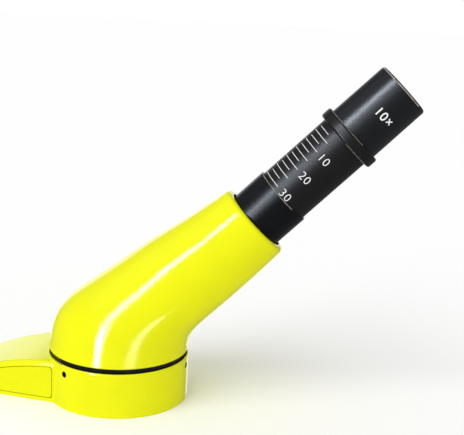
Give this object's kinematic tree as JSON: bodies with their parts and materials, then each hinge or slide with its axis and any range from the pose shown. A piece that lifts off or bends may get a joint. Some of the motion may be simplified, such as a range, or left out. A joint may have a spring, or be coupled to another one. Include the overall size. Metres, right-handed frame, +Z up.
{
  "type": "inclined monocular microscope head",
  "caption": "Microscope viewing head: an oval cast body swivels on a collar and carries an inclined sliding drawtube with a millimetre scale and a drop-in eyepiece.",
  "frame": {"origin": "on the optical and swivel axis, in the flat underside of the arm end where the nosepiece bolts on", "axes": "+Z up along the optical axis; the tube rises from it at 45 degrees towards +X; the arm leaves 11 degrees off -X, because the head stands swivelled by that much"},
  "size_m": [0.1806, 0.0575, 0.1372],
  "materials": {
    "lime_enamel": "gloss lime-yellow enamel on die-cast metal, slight orange peel",
    "cover_enamel": "gloss lime-yellow enamel on the side covers",
    "black_ring": "glossy black anodised",
    "black_sleeve": "satin black anodised, fine turned grain",
    "black_tube": "satin black anodised, engraved scale filled white",
    "black_barrel": "semi-gloss black",
    "inner_black": "matte black against stray light",
    "dark_steel": "blackened steel screws",
    "spring_steel": "bright spring steel",
    "nylon": "natural nylon drag ring",
    "optical_glass": "polished, with a faint coating"
  },
  "bodies": {
    "arm": {"arm_end": "lime_enamel", "left_side_cover": "cover_enamel", "right_side_cover": "cover_enamel"},
    "lock_screw_front": {"lock_screw_front": "dark_steel"},
    "lock_screw_left": {"lock_screw_left": "dark_steel"},
    "lock_screw_right": {"lock_screw_right": "dark_steel"},
    "head": {"swivel_ring": "black_ring", "swivel_ring_screws": "dark_steel", "head_casting": "lime_enamel", "prism": "optical_glass", "prism_holder": "inner_black", "prism_clip": "spring_steel", "prism_holder_screws": "dark_steel", "sleeve": "black_sleeve", "sleeve_lock_nut": "black_sleeve"},
    "tube_drag": {"drag_ring": "nylon"},
    "drawtube": {"drawtube": "black_tube", "drawtube_flange": "black_tube", "stop_ring": "spring_steel", "barlow_cell": "inner_black", "barlow_lens": "optical_glass", "barlow_retainer": "inner_black"},
    "eyepiece": {"eyepiece_barrel": "black_barrel", "eyepiece_spigot": "black_barrel", "eye_lens": "optical_glass", "eye_lens_spacer": "inner_black", "eye_lens_retainer": "inner_black", "field_stop": "inner_black", "field_stop_spacer": "inner_black", "field_lens": "optical_glass", "field_lens_retainer": "inner_black"}
  },
  "joints": [
    {"name": "head_swivel", "type": "hinge", "parent": "arm", "child": "head", "pos_m": [0, 0, 0.02], "axis": [0, 0, 1], "continuous": true},
    {"name": "drawtube_slide", "type": "slide", "parent": "head", "child": "tube_drag", "axis": [0.7071, 0, 0.7071], "range_m": [-0.0317, 0.0033]},
    {"name": "drawtube_turn", "type": "hinge", "parent": "tube_drag", "child": "drawtube", "pos_m": [0.05657, 0, 0.07821], "axis": [0.7071, 0, 0.7071], "continuous": true},
    {"name": "eyepiece_turn", "type": "hinge", "parent": "drawtube", "child": "eyepiece", "pos_m": [0.08945, 0, 0.11109], "axis": [0.7071, 0, 0.7071], "continuous": true},
    {"name": "lock_screw_front_travel", "type": "slide", "parent": "arm", "child": "lock_screw_front", "axis": [0.9816, -0.1908, 0], "range_m": [0, 0.001]},
    {"name": "lock_screw_left_travel", "type": "slide", "parent": "arm", "child": "lock_screw_left", "axis": [-0.6561, -0.7547, 0], "range_m": [0, 0.001]},
    {"name": "lock_screw_right_travel", "type": "slide", "parent": "arm", "child": "lock_screw_right", "axis": [-0.3256, 0.9455, 0], "range_m": [0, 0.001]}
  ]
}
